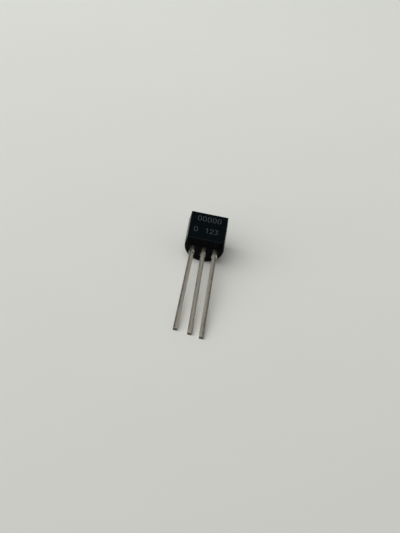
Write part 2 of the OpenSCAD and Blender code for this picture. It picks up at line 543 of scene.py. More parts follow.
def box_mesh(low, high):
    """A plain box between two corners, for cutting with."""
    box = bmesh.new()
    bmesh.ops.create_cube(box, size=1)
    size = Vector(high) - Vector(low)
    for v in box.verts:
        v.co = Vector(low) + Vector((v.co[i] + 0.5) * size[i] for i in range(3))
    return box


def temporary(mesh_data, name):
    """Turns a bmesh into an object that is removed again after use."""
    mesh = bpy.data.meshes.new(name)
    mesh_data.to_mesh(mesh)
    mesh_data.free()
    return add_object(name, mesh)


def settle(piece, *helpers):
    """Applies a piece's modifiers for good and removes the helper objects."""
    depsgraph = bpy.context.evaluated_depsgraph_get()
    finished = bpy.data.meshes.new_from_object(piece.evaluated_get(depsgraph))
    piece.modifiers.clear()
    piece.data = finished
    finished.name = piece.name
    for helper in helpers:
        bpy.data.objects.remove(helper)
    return piece


def open_edges(mesh):
    """Number of edges that don't have exactly two faces."""
    probe = bmesh.new()
    probe.from_mesh(mesh)
    count = sum(1 for e in probe.edges if len(e.link_faces) != 2)
    probe.free()
    return count


pin = bmesh.new()
pin_middle = Matrix.Translation((0, PIN_MARK_FLOOR + PIN_LEN / 2, CASE_H / 2))
bmesh.ops.create_cone(
    pin, cap_ends=True, segments=PIN_SIDES, depth=PIN_LEN, radius1=PIN_MARK_D / 2,
    radius2=(PIN_MARK_D + PIN_MARK_FLARE) / 2, matrix=pin_middle @ Matrix.Rotation(-pi / 2, 4, "X"),
)
cutters = [temporary(pin, "pin_mark_cutter")]
for i in (-1, 0, 1):
    x = i * PITCH
    slot = box_mesh(
        (x - LEAD_W / 2, -LEAD_T / 2, -SLOT_DEPTH), (x + LEAD_W / 2, LEAD_T / 2, SLOT_DEPTH)
    )
    cutters.append(temporary(slot, "lead_slot_cutter"))
for cutter in cutters:
    cut = case.modifiers.new("cut", "BOOLEAN")
    cut.operation, cut.solver, cut.object = "DIFFERENCE", "EXACT", cutter
settle(case, *cutters)
print("case after cutting:", len(case.data.polygons), "faces,", open_edges(case.data), "open edges")

# %% [markdown]
# Smooth shading rounds off every edge, even those of a flat face. Edges over 35 degrees are
# marked sharp, and a Weighted Normal modifier lets the large faces decide, so the flat stays flat
# and only its rounded rim shades round. Then the piece is laid down.

# %% Finish a mesh and lay it down
SHARP_OVER = radians(35)


def finish_mesh(piece):
    """Smooth shading with flat faces kept flat, then out of the drawing frame into the row's."""
    piece.data.shade_smooth()
    piece.data.set_sharp_from_angle(angle=SHARP_OVER)
    weighted = piece.modifiers.new("weighted", "WEIGHTED_NORMAL")
    weighted.keep_sharp = True
    weighted.weight = 100
    piece.data.transform(to_row)
    piece.data.update()
    settle(piece)
    axes = list(zip(*(v.co for v in piece.data.vertices)))
    box = in_mm(([min(axis) for axis in axes], [max(axis) for axis in axes]))
    print(f"{piece.name}: {len(piece.data.polygons)} faces, {box} mm")


finish_mesh(case)

# %% [markdown]
# ## The marking
#
# The maker's laser burns two rows of marks into the flat front: the epoxy turns grey and a touch
# rougher, a few hundredths of a millimetre deep. A real code would name a maker or a type, so this
# one carries plain figures instead.
#
# Text could be added as geometry, but a burnt mark has no thickness. It is drawn in the material,
# stroke by stroke, the way the laser does it: one group paints a straight stroke between two
# points, another paints the closed loop of a nought.

# %% Groups: a stroke and a loop
STROKE_SOFT = 0.012


def soft_line(tree, distance, half_width):
    """1 inside a line of that half width, 0 outside, with a narrow soft edge."""
    outside = do_math(tree, "SUBTRACT", distance, half_width)
    return remap(tree, outside, STROKE_SOFT, -STROKE_SOFT, smooth=True)


stroke, k_in, k_out = new_group(
    "laser_stroke", SHADER,
    [("Point", VECTOR, None), ("Start", VECTOR, None), ("End", VECTOR, None),
     ("Half Width", FLOAT, 0.04)],
    [("Mask", FLOAT)],
)
run = do_vector(stroke, "SUBTRACT", k_in["End"], k_in["Start"])
here = do_vector(stroke, "SUBTRACT", k_in["Point"], k_in["Start"])
share = do_math(
    stroke, "DIVIDE", do_vector(stroke, "DOT_PRODUCT", here, run),
    do_vector(stroke, "DOT_PRODUCT", run, run), clamp=True,
)
nearest = add_node(stroke, "ShaderNodeVectorMath", {0: run, "Scale": share}, operation="SCALE")
gap = do_vector(stroke, "LENGTH", do_vector(stroke, "SUBTRACT", here, nearest.outputs[0]))
stroke.links.new(soft_line(stroke, gap, k_in["Half Width"]), k_out["Mask"])

loop, o_in, o_out = new_group(
    "laser_loop", SHADER,
    [("Point", VECTOR, None), ("Centre", VECTOR, None), ("Radius", FLOAT, 0.16),
     ("Straight", FLOAT, 0.18), ("Half Width", FLOAT, 0.04)],
    [("Mask", FLOAT)],
)
from_centre = do_vector(loop, "SUBTRACT", o_in["Point"], o_in["Centre"])
offset = split_axes(loop, from_centre)
above = do_math(loop, "SUBTRACT", do_math(loop, "ABSOLUTE", offset[1]), o_in["Straight"])
above = do_math(loop, "MAXIMUM", above, 0.0)
bend_point = join_axes(loop, offset[0], above)
from_line = do_math(loop, "SUBTRACT", do_vector(loop, "LENGTH", bend_point), o_in["Radius"])
from_line = do_math(loop, "ABSOLUTE", from_line)
loop.links.new(soft_line(loop, from_line, o_in["Half Width"]), o_out["Mask"])
print("laser_stroke:", len(stroke.nodes), "nodes, laser_loop:", len(loop.nodes), "nodes")

# %% [markdown]
# A nought is one loop. Every other figure is a row of corners joined by strokes, written in a box
# that reaches one unit each way from its middle. The masks lie in the plane of the flat front, and
# a limit in depth keeps them off the round back.

# %% Draw the figures
FIGURE_W = 0.17
FIGURE_H = 0.36
STROKE_HALF = 0.036
TOP_ROW_X, TOP_ROW_Z = -1.08, 3.5
LOW_ROW_X, LOW_ROW_Z = -1.3, 1.62
NOUGHT_STEP = 0.56
NOUGHTS = [(TOP_ROW_X + NOUGHT_STEP * i, TOP_ROW_Z) for i in range(5)] + [(LOW_ROW_X, LOW_ROW_Z)]
MARK_DEPTH = 0.1
FIGURES = {
    1: [(-0.6, 0.6), (0.1, 1), (0.1, -1)],
    2: [(-1, 0.55), (-0.6, 0.95), (0.5, 0.95), (0.95, 0.6), (0.9, 0.2), (-1, -1), (1, -1)],
    3: [(-0.9, 0.95), (0.9, 0.95), (-0.05, 0.15), (0.6, 0.05), (1, -0.35), (0.6, -0.9),
        (-0.4, -1), (-1, -0.7)],
}
FIGURE_AT = {1: -0.04, 2: 0.47, 3: 0.98}


def draw_marking(tree, point):
    """Joins every stroke of the marking into one mask over the flat front."""
    axes = split_axes(tree, point)
    page = join_axes(tree, axes[0], axes[2])
    masks = []
    for x, z in NOUGHTS:
        values = {"Point": page, "Centre": (x, z, 0), "Radius": FIGURE_W,
                  "Straight": FIGURE_H - FIGURE_W, "Half Width": STROKE_HALF}
        masks.append(use_group(tree, loop, values)[0])
    for figure, corners in FIGURES.items():
        path = [(FIGURE_AT[figure] + x * FIGURE_W, LOW_ROW_Z + z * FIGURE_H, 0) for x, z in corners]
        for start, end in zip(path, path[1:]):
            values = {"Point": page, "Start": start, "End": end, "Half Width": STROKE_HALF}
            masks.append(use_group(tree, stroke, values)[0])
    joined = masks[0]
    for mask in masks[1:]:
        joined = do_math(tree, "MAXIMUM", joined, mask)
    on_front = do_math(tree, "LESS_THAN", axes[1], -FLAT_Y + MARK_DEPTH)
    return do_math(tree, "MULTIPLY", joined, on_front)


print("strokes in the marking:", len(NOUGHTS) + sum(len(c) - 1 for c in FIGURES.values()))

# %% [markdown]
# ## Black epoxy
#
# Moulding epoxy is black with a faint blue cast, and it shines only a little. Up close it has a
# fine even grain, slow cloudy patches where the resin flowed, pale rubbed edges and a little dust.
# Real resin mirrors about four per cent of what faces it. The specular level here is about a tenth
# of that, so that the flat stays nearly black under so wide a lamp. That number is the same
# everywhere and is set on the shader itself. What changes from place to place is the roughness:
# cloudy patches and burnt marks are duller, rubbed edges are smoother. The end that the leads come
# out of carries painted shade: its colour is made blacker than the flat, and the surface's own
# normal says which end that is.

# %% Material: case epoxy
EPOXY_SPECULAR = 0.045
EPOXY_DARK = (0.0006, 0.0021, 0.0028, 1)
EPOXY_PALE = (0.0014, 0.0035, 0.0045, 1)
# Painted shade: the colour of the end that the leads leave.
LEAD_END_PAINTED_SHADE = (0.0002, 0.0003, 0.0003, 1)
RUBBED = (0.030, 0.031, 0.032, 1)
DUST = (0.16, 0.155, 0.145, 1)
BURNT = (0.057, 0.061, 0.064, 1)
SMOOTH_PATCH, DULL_PATCH = 0.21, 0.29
BURNT_ROUGHER, RUBBED_SMOOTHER = 0.2, 0.1
END_FACES_FROM, END_FACES_FULL = 0.6, 0.9
BURN_FAINTEST = 0.55
BURN_DEPTH = 1.5
GRAIN_DEPTH = 0.0015

epoxy, tree, skin, point = new_finish(
    "case_epoxy", **{"Specular IOR Level": EPOXY_SPECULAR, "Roughness": SMOOTH_PATCH}
)
surface = use_group(tree, grain, {"Point": point, "Grain": 0.055, "Patch": 0.9})
rubbed = use_group(tree, wear, {"Point": point, "Reach": 0.12, "Knock": 0.11})[0]
specks = use_group(tree, dust, {"Point": point, "Spacing": 0.33, "Speck": 0.022, "Share": 0.22})[0]
marking = draw_marking(tree, point)
unevenly = remap(tree, surface["Height"], 0.0, 1.0, BURN_FAINTEST, 1.0)
burnt = do_math(tree, "MULTIPLY", marking, unevenly)
# Painted shade: the end face that the leads leave is coloured blacker, found by its normal.
lead_way = lay_down.to_3x3() @ Vector((0, 0, -1))
normal = add_node(tree, "ShaderNodeNewGeometry").outputs["Normal"]
faces_end = do_vector(tree, "DOT_PRODUCT", normal, lead_way)
painted_shade_at_lead_end = remap(tree, faces_end, END_FACES_FROM, END_FACES_FULL)

colour = lay_over(tree, blend(tree, surface["Patches"], EPOXY_DARK, EPOXY_PALE), [
    (painted_shade_at_lead_end, 0.9, LEAD_END_PAINTED_SHADE), (rubbed, 0.6, RUBBED), (burnt, 1.0, BURNT), (specks, 0.5, DUST),
])
tree.links.new(colour, skin.inputs["Base Color"])

rough = remap(tree, surface["Patches"], 0.0, 1.0, SMOOTH_PATCH, DULL_PATCH)
rough = do_math(tree, "ADD", rough, do_math(tree, "MULTIPLY", burnt, BURNT_ROUGHER))
smoother = do_math(tree, "MULTIPLY", rubbed, RUBBED_SMOOTHER)
rough = do_math(tree, "SUBTRACT", rough, smoother)
tree.links.new(rough, skin.inputs["Roughness"])

burnt_in = do_math(tree, "MULTIPLY", marking, BURN_DEPTH)
height = do_math(tree, "SUBTRACT", surface["Height"], burnt_in)
raise_surface(tree, skin, height, GRAIN_DEPTH)
paint(case, epoxy)
print("case_epoxy:", len(tree.nodes), "nodes")

# %% [markdown]
# ## Tin-plated leads: the finish
#
# The leads are stamped from one sheet with the dam bar that joined them, then plated with tin.
# Tin is a soft grey white metal. Fine lines run along the leads from stamping and plating, the
# plating is patchy, and dull spots show where fingers and age have touched it. The tips and the
# stubs of the dam bar were cut after plating, so their faces are bare: the tips are dull and dark,
# the stubs bright and torn, with a painted highlight on their cut and rolled faces. Right below the
# case a thin film of resin stains the metal, and below it a painted reflection of the black case
# end darkens the lead further.
#
# Three attributes come from the lead's own Geometry Nodes tree, further down: which faces are a cut
# end, which are stub faces with a painted highlight, and how far across the lead a point lies,
# from -1 to 1.

# %% Material: tinned lead
tin, tree, skin, point = new_finish("tinned_lead", Metallic=1.0)
surface = use_group(tree, grain, {"Point": point, "Grain": 0.05, "Patch": 0.7})
drawn = use_group(tree, streaks, {"Point": point, "Across": 0.035, "Along": 2.2})[0]
broad = use_group(tree, streaks, {"Point": point, "Across": 0.16, "Along": 5.0})[0]
rubbed = use_group(tree, wear, {"Point": point, "Reach": 0.06, "Knock": 0.2})[0]
specks = use_group(tree, dust, {"Point": point, "Spacing": 0.5, "Speck": 0.035, "Share": 0.35})[0]
cut_end = add_node(tree, "ShaderNodeAttribute", attribute_name="cut_end").outputs["Fac"]
sheared_highlight = add_node(tree, "ShaderNodeAttribute", attribute_name="sheared_highlight").outputs["Fac"]
across = add_node(tree, "ShaderNodeAttribute", attribute_name="across").outputs["Fac"]
axes = split_axes(tree, point)
below_case = do_math(tree, "MULTIPLY", axes[2], -1.0)
print("tinned_lead:", len(tree.nodes), "nodes so far")

# %% [markdown]
# A bright line along each lead is a painted highlight, and its darker sides are painted shade, laid
# on as a slightly bent surface would show them. The line wanders, and on the outer leads it lies
# nearer the middle one. The resin film and painted reflection below the case end in an uneven edge.
# Two kinds of streak and the slow patches together make the mottled look of the plating.

# %% Tinned lead: the masks
FILM_REFLECTION_WHOLE, FILM_REFLECTION_GONE = 0.1, 0.85
LINE_TURN = 0.4
LINE_CORE, LINE_EDGE = 0.1, 0.6
BAND_FROM, BAND_FULL = 0.5, 1.1
WANDER, LINE_SWAY = 0.25, 1.5
STAINS_FROM = 0.6
STREAK_SHARE, PATCH_SHARE = 0.45, 0.55

wander = do_math(tree, "SUBTRACT", surface["Patches"], 0.5)
wander = do_math(tree, "MULTIPLY", wander, WANDER)
# Painted reflection: the dark resin film reaches on down the lead as the black case end mirrored.
film_reflection_reach = do_math(tree, "ADD", below_case, wander)
film_and_reflection = remap(tree, film_reflection_reach, FILM_REFLECTION_WHOLE, FILM_REFLECTION_GONE, 1.0, 0.0)
# Painted highlight along each lead, with painted shade towards its sides.
turned_in = remap(tree, axes[0], -PITCH, PITCH, LINE_TURN, -LINE_TURN)
highlight_line_at = do_math(tree, "ADD", turned_in, do_math(tree, "MULTIPLY", wander, LINE_SWAY))
from_line = do_math(tree, "ABSOLUTE", do_math(tree, "SUBTRACT", across, highlight_line_at))
painted_highlight_line = remap(tree, from_line, LINE_CORE, LINE_EDGE, 1.0, 0.0, smooth=True)
painted_side_shade = remap(tree, from_line, BAND_FROM, BAND_FULL, smooth=True)
stains = remap(tree, broad, STAINS_FROM, 1.0)
mottle = do_math(
    tree, "ADD", do_math(tree, "MULTIPLY", drawn, STREAK_SHARE),
    do_math(tree, "MULTIPLY", surface["Patches"], PATCH_SHARE),
)
print("tinned_lead:", len(tree.nodes), "nodes so far")

# %% [markdown]
# The colours go on in this order: plating with its painted highlight line and painted side shade,
# tarnish and wear, the cuts, the resin film with its painted reflection, and last the bare stub
# faces with their painted highlight. Brighter plating is also smoother, and the fine lines stand
# out by a few thousandths of a millimetre.

# %% Tinned lead: colours, roughness and relief
TIN_BRIGHT = (0.84, 0.80, 0.67, 1)
TIN_DULL = (0.63, 0.60, 0.505, 1)
# Painted highlight and painted side shade of the leads.
PAINTED_HIGHLIGHT = (0.99, 0.955, 0.825, 1)
PAINTED_SIDE_SHADE = (0.275, 0.26, 0.215, 1)
TARNISH = (0.30, 0.275, 0.225, 1)
# Bare metal of rubbed spots, and painted highlight on the dam stub faces.
BARE_METAL_AND_HIGHLIGHT = (0.90, 0.89, 0.86, 1)
CUT_METAL = (0.13, 0.125, 0.11, 1)
# Resin film, and further down painted reflection of the black case end.
RESIN_FILM_AND_REFLECTION = (0.045, 0.045, 0.043, 1)
TIN_DULL_ROUGH, TIN_BRIGHT_ROUGH = 0.40, 0.26
LINE_HEIGHT = 0.0035
LINES_RELIEF, GRAIN_RELIEF = 0.6, 0.4

colour = lay_over(tree, blend(tree, mottle, TIN_DULL, TIN_BRIGHT), [
    (painted_highlight_line, 0.65, PAINTED_HIGHLIGHT), (painted_side_shade, 0.9, PAINTED_SIDE_SHADE), (specks, 0.75, TARNISH),
    (stains, 0.35, TARNISH), (rubbed, 0.3, BARE_METAL_AND_HIGHLIGHT), (cut_end, 1.0, CUT_METAL),
    (film_and_reflection, 0.85, RESIN_FILM_AND_REFLECTION), (sheared_highlight, 1.0, BARE_METAL_AND_HIGHLIGHT),
])
tree.links.new(colour, skin.inputs["Base Color"])

rough = remap(tree, mottle, 0.0, 1.0, TIN_DULL_ROUGH, TIN_BRIGHT_ROUGH)
for mask, change in ((cut_end, 0.12), (specks, 0.2), (sheared_highlight, -0.08)):
    rough = do_math(tree, "ADD", rough, do_math(tree, "MULTIPLY", mask, change))
tree.links.new(rough, skin.inputs["Roughness"])

height = do_math(
    tree, "ADD", do_math(tree, "MULTIPLY", drawn, LINES_RELIEF),
    do_math(tree, "MULTIPLY", surface["Height"], GRAIN_RELIEF),
)
raise_surface(tree, skin, height, LINE_HEIGHT)
print("tinned_lead:", len(tree.nodes), "nodes")

# %% [markdown]
# ## The leads: one rule for all three
#
# Every lead is the same strip of sheet following its own path: straight out of the case, past the
# stub of the cut dam bar, then leaning to its tip. That is a job for Geometry Nodes. The tree takes
# the path, rounds its knee, sweeps a rounded rectangle along it, widens the strip where the dam bar
# was cut off, makes the plating slightly uneven, and marks the cut faces for the material. Inside
# the case it welds on the lock and the post that hold the lead and carry the chip.
#
# Sizes are named inputs, so one tree makes three different leads.

# %% Geometry Nodes: the stamped lead
GEOMETRY = "GeometryNodeTree"
LEAN_START = 1.35
KNEE_POINTS = 8
lead_rule, l_in, l_out = new_group(
    "stamped_lead", GEOMETRY,
    [("Path", "NodeSocketGeometry", None), ("Root X", FLOAT, 0.0), ("Width", FLOAT, LEAD_W),
     ("Thickness", FLOAT, LEAD_T), ("Edge Radius", FLOAT, 0.07),
     ("Corner Points", "NodeSocketInt", 5), ("Flat Cuts", "NodeSocketInt", 7),
     ("Knee Radius", FLOAT, 4.0), ("Step", FLOAT, 0.06), ("Dam Middle", FLOAT, -1.0),
     ("Dam Half Height", FLOAT, 0.15), ("Dam Slope", FLOAT, 0.06), ("Dam Stub", FLOAT, 0.06),
     ("Roll Over", FLOAT, 0.15), ("Lean Start Z", FLOAT, -LEAN_START), ("Tip X", FLOAT, 0.0),
     ("Tip Z", FLOAT, -TIP_LEN[1]), ("Unevenness", FLOAT, 0.008),
     ("Lock Size", VECTOR, None), ("Lock Centre", VECTOR, None),
     ("Post Size", VECTOR, None), ("Post Centre", VECTOR, None), ("Hole Diameter", FLOAT, 0.0),
     ("Hole Centre", VECTOR, None), ("Finish", "NodeSocketMaterial", None)],
    [("Geometry", "NodeSocketGeometry")],
)


def geo(kind, inputs=None, **settings):
    """Adds a node to the lead's tree and returns its first output."""
    return add_node(lead_rule, "GeometryNode" + kind, inputs, **settings).outputs[0]


def store(geometry, label, value, domain):
    """Keeps a value on the lead's points or faces, for the material to read."""
    values = {"Geometry": geometry, "Name": label, "Value": value}
    return geo("StoreNamedAttribute", values, domain=domain)


path = geo("MeshToCurve", {"Mesh": l_in["Path"]})
path = geo(
    "FilletCurve", {"Curve": path, "Radius": l_in["Knee Radius"], "Count": KNEE_POINTS}, mode="POLY"
)
path = geo("ResampleCurve", {"Curve": path, "Length": l_in["Step"]}, mode="LENGTH")
path = geo("SetCurveNormal", {"Curve": path, "Normal": (0, -1, 0)}, mode="FREE")
section = geo("CurvePrimitiveQuadrilateral", {"Width": l_in["Thickness"], "Height": l_in["Width"]})
section = geo(
    "FilletCurve",
    {"Curve": section, "Radius": l_in["Edge Radius"], "Count": l_in["Corner Points"]}, mode="POLY",
)
per_corner = do_math(lead_rule, "ADD", l_in["Corner Points"], 1.0)
place_in_corner = do_math(lead_rule, "MODULO", geo("InputIndex"), per_corner)
before_straight = do_math(lead_rule, "COMPARE", place_in_corner, l_in["Corner Points"], 0.1)
cuts = do_math(lead_rule, "MULTIPLY", before_straight, l_in["Flat Cuts"])
section = geo("SubdivideCurve", {"Curve": section, "Cuts": cuts})
strip = geo("CurveToMesh", {"Curve": path, "Profile Curve": section, "Fill Caps": True})
print("lead tree so far:", len(lead_rule.nodes), "nodes")

# %% [markdown]
# The dam bar was punched away between the leads, and a little of it is left on both sides of each.
# The punch comes down on the flat's side, so it pulls the edge of the stub down with it: the metal
# rolls over there, and the torn corner catches the light; its faces are also marked for a painted
# highlight. Then the plating is made uneven by a few thousandths of a millimetre, and the last
# tenth of a millimetre of each tip is drawn in.

# %% Geometry Nodes: dam bar stubs, plating and tips
ROLL_FROM = 0.15
PLATING_SCALE = 1.3
TIP_SOFT, TIP_DRAWN_IN = 0.09, 3.0
TIP_FACING, SIDE_FACING, ROLLED_FACING = -0.8, 0.85, 0.2
where = split_axes(lead_rule, geo("InputPosition"))
half_width = do_math(lead_rule, "MULTIPLY", l_in["Width"], 0.5)
middle = remap(
    lead_rule, where[2], l_in["Lean Start Z"], l_in["Tip Z"], l_in["Root X"], l_in["Tip X"]
)
across = do_math(lead_rule, "DIVIDE", do_math(lead_rule, "SUBTRACT", where[0], middle), half_width)
aside = do_math(lead_rule, "SUBTRACT", where[0], l_in["Root X"])
from_dam = do_math(lead_rule, "SUBTRACT", where[2], l_in["Dam Middle"])
from_dam = do_math(lead_rule, "ABSOLUTE", from_dam)
inner = do_math(lead_rule, "SUBTRACT", l_in["Dam Half Height"], l_in["Dam Slope"])
on_dam = remap(lead_rule, from_dam, l_in["Dam Half Height"], inner)
widen = do_math(lead_rule, "DIVIDE", l_in["Dam Stub"], half_width)
push = do_math(lead_rule, "MULTIPLY", do_math(lead_rule, "MULTIPLY", aside, widen), on_dam)
aside_share = do_math(lead_rule, "DIVIDE", aside, half_width)
sag = remap(lead_rule, aside_share, ROLL_FROM, 1.0, 0.0, l_in["Roll Over"])
at_front = remap(lead_rule, do_math(lead_rule, "DIVIDE", where[1], l_in["Thickness"]), 0.0, -0.5)
sag = do_math(lead_rule, "MULTIPLY", do_math(lead_rule, "MULTIPLY", sag, at_front), on_dam)
shift = join_axes(lead_rule, push, sag)
strip = geo("SetPosition", {"Geometry": strip, "Offset": shift})

plating = add_node(
    lead_rule, "ShaderNodeTexNoise", {"Scale": PLATING_SCALE, "Detail": 2.0}
).outputs[0]
above_tip = do_math(lead_rule, "SUBTRACT", where[2], l_in["Tip Z"])
near_tip = remap(lead_rule, above_tip, TIP_SOFT, 0.0, 0.0, TIP_DRAWN_IN)
hollow = do_math(lead_rule, "ADD", plating, near_tip)
hollow = do_math(lead_rule, "MULTIPLY", hollow, l_in["Unevenness"])
sideways = do_vector(lead_rule, "MULTIPLY", geo("InputNormal"), (1, 1, 0))
shift = add_node(
    lead_rule, "ShaderNodeVectorMath",
    {0: sideways, "Scale": do_math(lead_rule, "MULTIPLY", hollow, -1.0)}, operation="SCALE",
).outputs[0]
strip = geo("SetPosition", {"Geometry": strip, "Offset": shift})

facing = split_axes(lead_rule, geo("InputNormal"))
is_tip = do_math(lead_rule, "LESS_THAN", facing[2], TIP_FACING)
is_side = do_math(lead_rule, "GREATER_THAN", do_math(lead_rule, "ABSOLUTE", facing[0]), SIDE_FACING)
# Painted highlight: stub faces that point sideways, or roll over towards the right, get a bright
# colour.
is_rolled = do_math(lead_rule, "GREATER_THAN", facing[0], ROLLED_FACING)
stub_highlight_faces = do_math(lead_rule, "MULTIPLY", do_math(lead_rule, "MAXIMUM", is_side, is_rolled), on_dam)
for label, mask in (("cut_end", is_tip), ("sheared_highlight", stub_highlight_faces)):
    strip = store(strip, label, mask, "FACE")
print("lead tree so far:", len(lead_rule.nodes), "nodes")

# %% [markdown]
# Inside the case a lead widens into a lock, which keeps it from being pulled out, and a post, which
# carries a wire or the chip. Both are blocks welded to the strip. How far across the lead a point
# lies is stored last, because a Boolean makes new points; the faces that were cut are marked before
# it and keep their marks.

# %% Geometry Nodes: the parts inside the case
DRILL_LEN, DRILL_SIDES = 2.0, 32
NO_HOLE = 0.01


def block(size, centre):
    """A box of sheet metal in the lead's tree."""
    cube = geo("MeshCube", {"Size": size})
    return geo("SetPosition", {"Geometry": cube, "Offset": centre})


lock = block(l_in["Lock Size"], l_in["Lock Centre"])
post = block(l_in["Post Size"], l_in["Post Centre"])
weld = add_node(lead_rule, "GeometryNodeMeshBoolean", operation="UNION", solver="EXACT")
for part in (strip, lock, post):
    lead_rule.links.new(part, weld.inputs["Mesh 2"])
drill_r = do_math(lead_rule, "MULTIPLY", l_in["Hole Diameter"], 0.5)
drill = geo("MeshCylinder", {"Vertices": DRILL_SIDES, "Radius": drill_r, "Depth": DRILL_LEN})
drill = geo(
    "Transform",
    {"Geometry": drill, "Translation": l_in["Hole Centre"], "Rotation": (pi / 2, 0, 0)},
)
drilled = geo(
    "MeshBoolean", {"Mesh 1": weld.outputs[0], "Mesh 2": drill},
    operation="DIFFERENCE", solver="EXACT",
)
has_hole = do_math(lead_rule, "GREATER_THAN", l_in["Hole Diameter"], NO_HOLE)
lead = geo(
    "Switch", {"Switch": has_hole, "False": weld.outputs[0], "True": drilled}, input_type="GEOMETRY"
)
lead = store(lead, "across", across, "POINT")
lead = geo("RealizeInstances", {"Geometry": lead})
lead = geo("SetMaterial", {"Geometry": lead, "Material": l_in["Finish"]})
lead_rule.links.new(lead, l_out[0])
print("lead tree:", len(lead_rule.nodes), "nodes")

# %% [markdown]
# ## The three leads
#
# Each lead gets its own path and its own inner piece. Seen from the flat front they are, from the
# left, the emitter, the base and the collector. The collector carries the chip, so its inner piece
# is a large pad with a hole that the epoxy grips.

# %% Make the leads
LOCK_W, LOCK_LOW, LOCK_HIGH = 0.75, 0.4, 0.7
POSTS = {
    "emitter": (-1.7, -0.85, 2.2, 3.5),
    "base": (-0.4, 0.4, 1.05, 1.65),
    "collector": (-0.45, 1.75, 2.05, 3.9),
}
HOLE_D = 0.4
HOLE_MARGIN = 0.38
OVERLAP = 0.1


def set_inputs(modifier, values):
    """Sets a modifier's inputs by their identifiers, which never change, not by their names."""
    for item in modifier.node_group.interface.items_tree:
        if item.item_type == "SOCKET" and item.in_out == "INPUT" and item.name in values:
            modifier[item.identifier] = values[item.name]


def grow(name, tree, points, values):
    """Runs a geometry tree on a path of points and keeps the result as a plain mesh."""
    mesh = bpy.data.meshes.new(name)
    mesh.from_pydata(points, [(i, i + 1) for i in range(len(points) - 1)], [])
    piece = add_object(name, mesh)
    modifier = piece.modifiers.new("rule", "NODES")
    modifier.node_group = tree
    set_inputs(modifier, values)
    return settle(piece)


def make_lead(index, name):
    """One lead, from its post inside the case to its cut tip."""
    x = (index - 1) * PITCH
    left, right, low, high = POSTS[name]
    hole = name == "collector"
    values = {
        "Root X": x, "Lean Start Z": -LEAN_START, "Tip X": TIP_X[index], "Tip Z": -TIP_LEN[index],
        "Finish": tin,
        "Lock Size": (LOCK_W, LEAD_T, LOCK_HIGH - LOCK_LOW),
        "Lock Centre": (x, 0.0, (LOCK_LOW + LOCK_HIGH) / 2),
        "Post Size": (right - left, LEAD_T, high - low),
        "Post Centre": ((left + right) / 2, 0.0, (low + high) / 2),
        "Hole Diameter": HOLE_D if hole else 0.0,
        "Hole Centre": (right - HOLE_MARGIN, 0.0, high - HOLE_MARGIN),
    }
    points = [(x, 0, low + OVERLAP), (x, 0, -LEAN_START), (TIP_X[index], 0, -TIP_LEN[index])]
    piece = grow(name + "_leg", lead_rule, points, values)
    print(piece.name, "open edges:", open_edges(piece.data))
    finish_mesh(piece)
    return piece


leads = {name: make_lead(i, name) for i, name in enumerate(POSTS)}

# %% [markdown]
# ## Inside the case
#
# Nobody sees the chip, but it is what makes the thing a transistor. A square of silicon is glued to
# the collector's pad with silver paste, and two gold wires, thinner than a hair, run from its top
# to the other two posts. Chip and paste keep their CAD shapes and only get a finish.

# %% Materials: silver paste, silicon and gold
PASTE_BRIGHT = (0.72, 0.71, 0.69, 1)
PASTE_DULL = (0.48, 0.47, 0.45, 1)
paste, tree, skin, point = new_finish("silver_paste", Metallic=0.7)
surface = use_group(tree, grain, {"Point": point, "Grain": 0.015, "Patch": 0.12})
tree.links.new(blend(tree, surface["Height"], PASTE_DULL, PASTE_BRIGHT), skin.inputs["Base Color"])
tree.links.new(remap(tree, surface["Patches"], 0, 1, 0.4, 0.6), skin.inputs["Roughness"])
raise_surface(tree, skin, surface["Height"], 0.003)

SILICON_DARK = (0.045, 0.055, 0.085, 1)
SILICON_PALE = (0.11, 0.12, 0.16, 1)
BOND_PAD = (0.75, 0.76, 0.78, 1)
DIE_X, DIE_Z = 0.3, 2.975
BONDS_ON_DIE = [(DIE_X - 0.09, DIE_Z + 0.05), (DIE_X + 0.02, DIE_Z - 0.11)]
PAD_HALF = 0.04
silicon, tree, skin, point = new_finish("silicon_chip", Roughness=0.2)
surface = use_group(tree, grain, {"Point": point, "Grain": 0.02, "Patch": 0.2})
axes = split_axes(tree, point)
page = join_axes(tree, axes[0], axes[2])
pads = [
    use_group(tree, stroke, {
        "Point": page, "Start": (x - PAD_HALF / 2, z, 0), "End": (x + PAD_HALF / 2, z, 0),
        "Half Width": PAD_HALF,
    })[0]
    for x, z in BONDS_ON_DIE
]
pads = do_math(tree, "MAXIMUM", *pads)
colour = blend(tree, surface["Patches"], SILICON_DARK, SILICON_PALE)
tree.links.new(blend(tree, pads, colour, BOND_PAD), skin.inputs["Base Color"])
tree.links.new(pads, skin.inputs["Metallic"])
tree.links.new(remap(tree, surface["Height"], 0, 1, 0.16, 0.26), skin.inputs["Roughness"])
raise_surface(tree, skin, pads, 0.002)

GOLD_BRIGHT = (0.95, 0.72, 0.32, 1)
GOLD_DULL = (0.80, 0.56, 0.22, 1)
gold, tree, skin, point = new_finish("gold_wire", Metallic=1.0)
surface = use_group(tree, grain, {"Point": point, "Grain": 0.01, "Patch": 0.15})
tree.links.new(blend(tree, surface["Patches"], GOLD_DULL, GOLD_BRIGHT), skin.inputs["Base Color"])
tree.links.new(remap(tree, surface["Height"], 0, 1, 0.18, 0.32), skin.inputs["Roughness"])
raise_surface(tree, skin, surface["Height"], 0.0008)

for node, finish in (("die_attach", paste), ("silicon_die", silicon)):
    paint(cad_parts[node], finish)
print("inner finishes:", [m.name for m in (paste, silicon, gold)])

# %% [markdown]
# ## The bond wires
#
# A bonding machine melts a ball on the end of the wire, presses it on the chip, pulls the wire up
# and over in a loop, and stitches its other end to a post. The wire follows a path and is thicker
# at both ends, so it is a second Geometry Nodes tree: a round profile swept along the loop, with
# the curve's radius following the distance from the ends.

